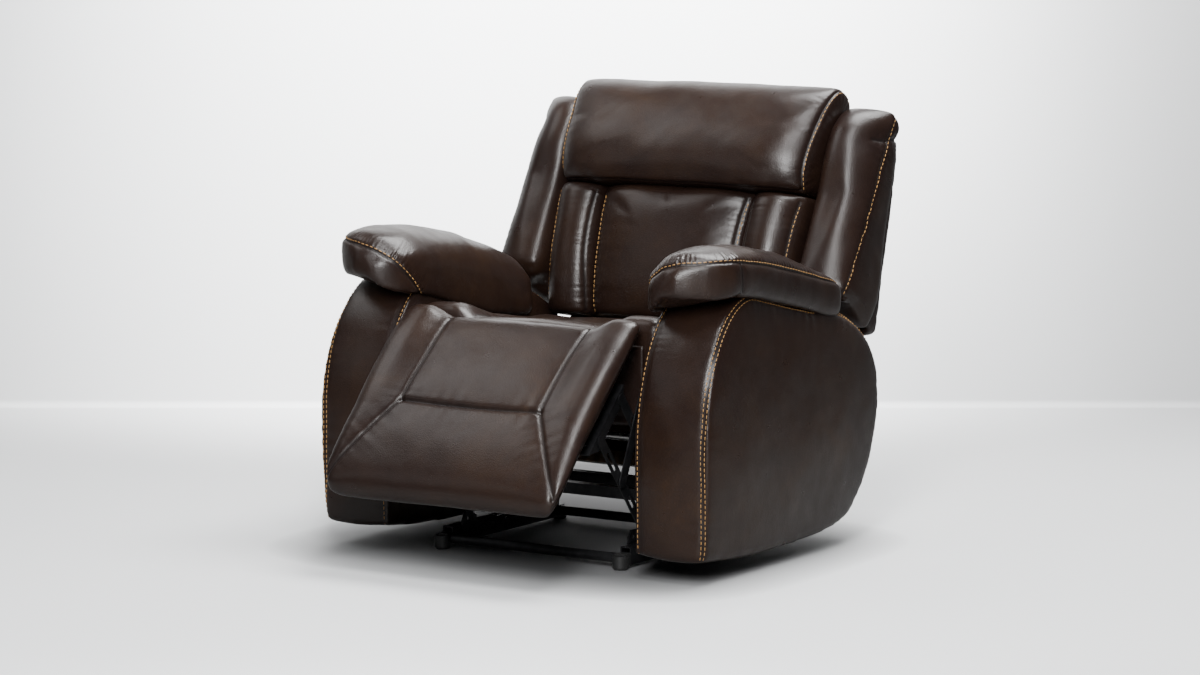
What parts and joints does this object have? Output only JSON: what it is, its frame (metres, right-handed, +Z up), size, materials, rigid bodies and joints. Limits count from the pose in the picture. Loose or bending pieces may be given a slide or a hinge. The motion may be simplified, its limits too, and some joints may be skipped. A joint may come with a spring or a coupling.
{
  "type": "rocker recliner armchair",
  "caption": "Padded leather recliner armchair on a rocking steel base, with a fold-out footrest on a link mechanism, a reclining back and a side handle.",
  "frame": {"origin": "centre of the chair's bounding box on the floor, with the footrest half open and the back upright", "axes": "+X the sitter's left, -Y the way the sitter faces, +Z up"},
  "size_m": [1.0147, 1.1619, 0.9918],
  "materials": {
    "leather": "semi-gloss pull-up leather, dark brown with amber mottling",
    "timber": "plain sawn hardwood",
    "plastic": "black moulded plastic, fine grain",
    "zinc_steel": "bright zinc-plated steel",
    "black_steel": "satin black powder coat"
  },
  "bodies": {
    "base": {"base_front_tube": "black_steel", "base_rear_tube": "black_steel", "base_rail_left": "black_steel", "base_rail_right": "black_steel", "glides": "plastic", "rocker_spring_front_left": "zinc_steel", "rocker_spring_rear_left": "zinc_steel", "rocker_spring_front_right": "zinc_steel", "rocker_spring_rear_right": "zinc_steel"},
    "chassis": {"rocker_cam_left": "black_steel", "rocker_cam_right": "black_steel", "front_cross_tube": "black_steel", "rear_cross_tube": "black_steel", "mount_rail_left": "black_steel", "mount_rail_right": "black_steel", "arm_frame_left": "timber", "arm_frame_right": "timber", "arm_side_left": "leather", "arm_side_right": "leather", "arm_inner_left": "leather", "arm_inner_right": "leather", "arm_band_left": "leather", "arm_band_right": "leather", "arm_pad_left": "leather", "arm_pad_right": "leather", "arm_bolts": "zinc_steel", "handle_trim": "plastic"},
    "seat": {"seat_plate_left": "black_steel", "seat_plate_right": "black_steel", "seat_pivots": "zinc_steel", "seat_side_rails": "timber", "seat_cross_rails": "timber", "seat_bolts": "zinc_steel", "seat_springs": "zinc_steel", "seat_cushion": "leather", "seat_apron": "leather"},
    "rear_links": {"rear_links": "black_steel"},
    "front_links": {"front_links": "black_steel"},
    "upper_links": {"upper_links": "black_steel"},
    "lower_links": {"lower_links": "black_steel"},
    "drive_links": {"drive_links": "black_steel"},
    "handle": {"drive_rod": "zinc_steel", "drive_cranks": "black_steel", "handle": "plastic"},
    "footrest": {"footrest_board": "timber", "footrest_pad": "leather", "footrest_bracket_left": "black_steel", "footrest_bracket_right": "black_steel"},
    "back": {"back_posts": "timber", "back_rails": "timber", "back_springs": "zinc_steel", "back_shell": "leather", "back_bracket_left": "black_steel", "back_bracket_right": "black_steel", "wing_left": "leather", "wing_right": "leather", "lumbar_centre": "leather", "lumbar_left": "leather", "lumbar_right": "leather", "headrest": "leather"}
  },
  "joints": [
    {"name": "rock", "type": "hinge", "parent": "base", "child": "chassis", "pos_m": [0, 0.016, 0.146], "axis": [-1, 0, 0], "range_deg": [-5, 8], "stiffness_Nm_per_rad": 520, "springref_deg": -5.16, "deforming": ["rocker_spring_front_left", "rocker_spring_rear_left", "rocker_spring_front_right", "rocker_spring_rear_right"]},
    {"name": "seat_slide", "type": "slide", "parent": "chassis", "child": "seat", "axis": [0, -1, 0], "range_m": [0, 0.02]},
    {"name": "back_recline", "type": "hinge", "parent": "seat", "child": "back", "pos_m": [0, 0.306, 0.4], "axis": [-1, 0, 0], "range_deg": [0, 30]},
    {"name": "footrest_extend", "type": "hinge", "parent": "seat", "child": "rear_links", "pos_m": [0, -0.15045, 0.32012], "axis": [-1, 0, 0], "range_deg": [-47, 47]},
    {"name": "front_link_turn", "type": "hinge", "parent": "seat", "child": "front_links", "pos_m": [0, -0.22545, 0.41512], "axis": [-1, 0, 0], "range_deg": [-47, 47]},
    {"name": "upper_link_turn", "type": "hinge", "parent": "rear_links", "child": "upper_links", "pos_m": [0, -0.244, 0.11], "axis": [-1, 0, 0], "range_deg": [-47, 47]},
    {"name": "lower_link_turn", "type": "hinge", "parent": "rear_links", "child": "lower_links", "pos_m": [0, -0.16622, 0.18778], "axis": [-1, 0, 0], "range_deg": [-47, 47]},
    {"name": "drive_link_turn", "type": "hinge", "parent": "rear_links", "child": "drive_links", "pos_m": [0, -0.1103, 0.3647], "axis": [-1, 0, 0], "range_deg": [-47, 47]},
    {"name": "footrest_turn", "type": "hinge", "parent": "upper_links", "child": "footrest", "pos_m": [0, -0.394, 0.3], "axis": [-1, 0, 0], "range_deg": [-47, 47]},
    {"name": "handle_turn", "type": "hinge", "parent": "seat", "child": "handle", "pos_m": [0, -0.01045, 0.24512], "axis": [-1, 0, 0], "range_deg": [-47, 47]}
  ],
  "couplings": [
    {"joint": "seat_slide", "follows": "back_recline", "m_per_rad": 0.038197},
    {"joint": "front_link_turn", "follows": "footrest_extend", "ratio": 1},
    {"joint": "upper_link_turn", "follows": "footrest_extend", "ratio": -1},
    {"joint": "lower_link_turn", "follows": "footrest_extend", "ratio": -1},
    {"joint": "drive_link_turn", "follows": "footrest_extend", "ratio": -1},
    {"joint": "footrest_turn", "follows": "footrest_extend", "ratio": 1},
    {"joint": "handle_turn", "follows": "footrest_extend", "ratio": 1}
  ]
}
